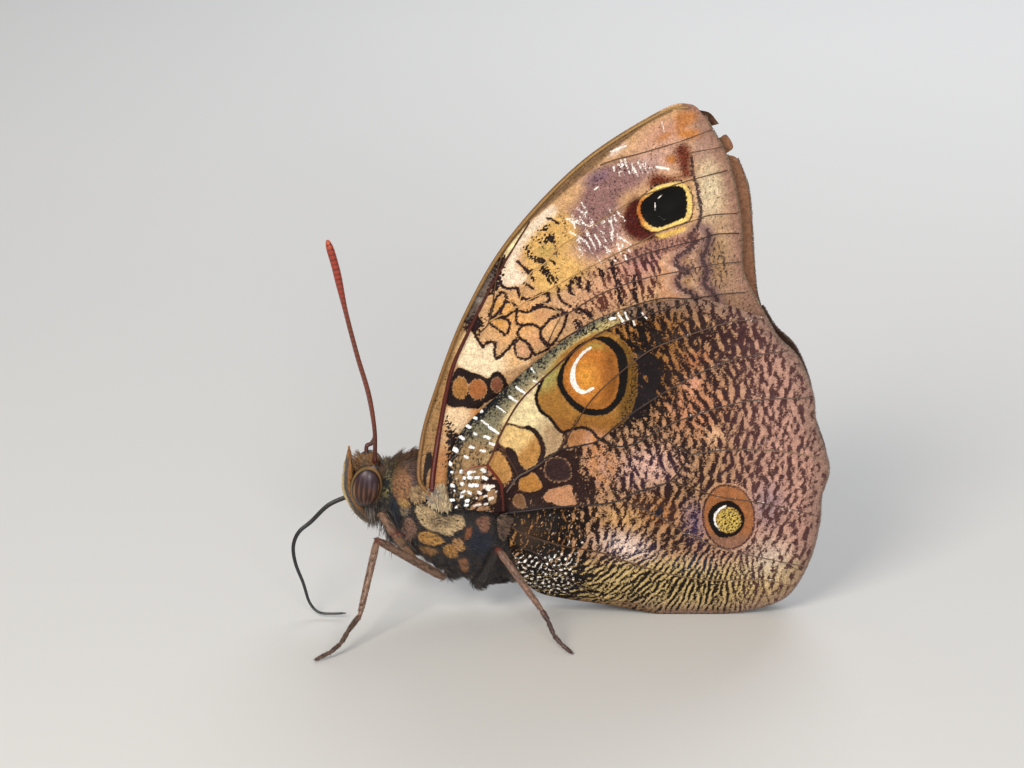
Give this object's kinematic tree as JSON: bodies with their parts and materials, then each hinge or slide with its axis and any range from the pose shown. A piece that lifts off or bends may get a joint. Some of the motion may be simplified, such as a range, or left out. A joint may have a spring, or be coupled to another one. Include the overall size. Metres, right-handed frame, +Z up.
{
  "type": "owl butterfly",
  "caption": "Life-size owl butterfly standing with closed patterned wings, clubbed feelers and its drinking tube let down.",
  "frame": {"origin": "middle of the insect's outer box at the level of its feet", "axes": "-X is the way the head points, -Y is its left side, +Z is up from the surface it stands on"},
  "size_m": [0.0498, 0.0254, 0.0492],
  "materials": {
    "body_fur": "short brown fur and scales with tan and black patches",
    "compound_eye": "glossy brown compound eye with darker upright stripes",
    "wing_membrane": "scaled membrane in tan, brown, orange and purple with ringed eyespots",
    "leg_scales": "matt brown scales and short hair",
    "antenna": "red-brown ringed horn, orange at the club",
    "proboscis": "satin black flexible tube"
  },
  "bodies": {
    "root": {"abdomen": "body_fur", "antenna_left": "antenna", "antenna_right": "antenna", "eye_left": "compound_eye", "eye_right": "compound_eye", "foreleg_left": "leg_scales", "foreleg_right": "leg_scales", "forewing_left": "wing_membrane", "forewing_right": "wing_membrane", "head": "body_fur", "hindleg_left_femur": "leg_scales", "hindleg_left_tarsus": "leg_scales", "hindleg_left_tibia": "leg_scales", "hindleg_right_femur": "leg_scales", "hindleg_right_tarsus": "leg_scales", "hindleg_right_tibia": "leg_scales", "hindwing_left": "wing_membrane", "hindwing_right": "wing_membrane", "midleg_left_femur": "leg_scales", "midleg_left_tarsus": "leg_scales", "midleg_left_tibia": "leg_scales", "midleg_right_femur": "leg_scales", "midleg_right_tarsus": "leg_scales", "midleg_right_tibia": "leg_scales", "palp_left": "body_fur", "palp_right": "body_fur", "proboscis_base": "proboscis", "proboscis_bend": "proboscis", "proboscis_tip": "proboscis", "thorax": "body_fur"}
  },
  "joints": []
}
